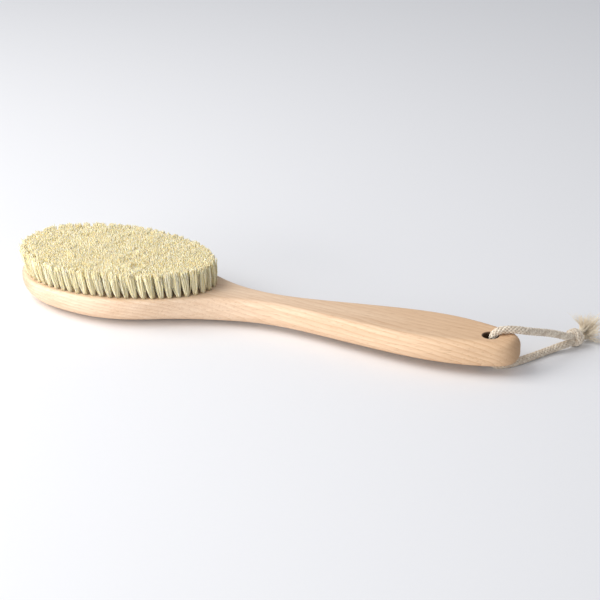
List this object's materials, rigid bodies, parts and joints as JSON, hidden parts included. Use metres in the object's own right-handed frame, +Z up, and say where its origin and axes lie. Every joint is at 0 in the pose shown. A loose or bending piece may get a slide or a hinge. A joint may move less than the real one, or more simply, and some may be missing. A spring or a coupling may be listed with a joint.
{
  "type": "body dry brush",
  "caption": "Long-handled wooden dry body brush with an oval head of plant bristle tufts and a knotted cotton hanging cord.",
  "frame": {"origin": "On the surface the brush lies on, under the middle of the body's box. The head's base touches it near the head tip.", "axes": "X runs along the brush, from the head at -X to the handle end at +X. Z is up, the side the bristles are on. Y is across the brush, and the hanging cord lies out to +Y."},
  "size_m": [0.3846, 0.1114, 0.0381],
  "materials": {
    "beech": "sanded, unvarnished beech",
    "bristle": "pale plant fibre",
    "cotton": "undyed braided cotton"
  },
  "bodies": {
    "brush": {"tufts_ring1_1": "bristle", "tufts_ring1_2": "bristle", "tufts_ring1_3": "bristle", "tufts_ring1_4": "bristle", "tufts_ring2_1": "bristle", "tufts_ring2_2": "bristle", "tufts_ring2_3": "bristle", "tufts_ring2_4": "bristle", "tufts_ring3_1": "bristle", "tufts_ring3_2": "bristle", "tufts_ring3_3": "bristle", "tufts_row_1": "bristle", "tufts_row_2": "bristle", "tufts_row_3": "bristle", "tufts_row_4": "bristle", "tufts_row_5": "bristle", "tufts_row_6": "bristle", "tufts_row_7": "bristle", "wooden_body": "beech"},
    "cord_loop": {"hanging_cord": "cotton", "cord_knot": "cotton", "cord_tail_up": "cotton", "cord_tail_side": "cotton"}
  },
  "joints": [
    {"name": "cord_loop_swing", "type": "hinge", "parent": "brush", "child": "cord_loop", "pos_m": [0.15711, -0.0026, 0.01416], "axis": [0, 0, 1], "range_deg": [-105, 30]}
  ]
}
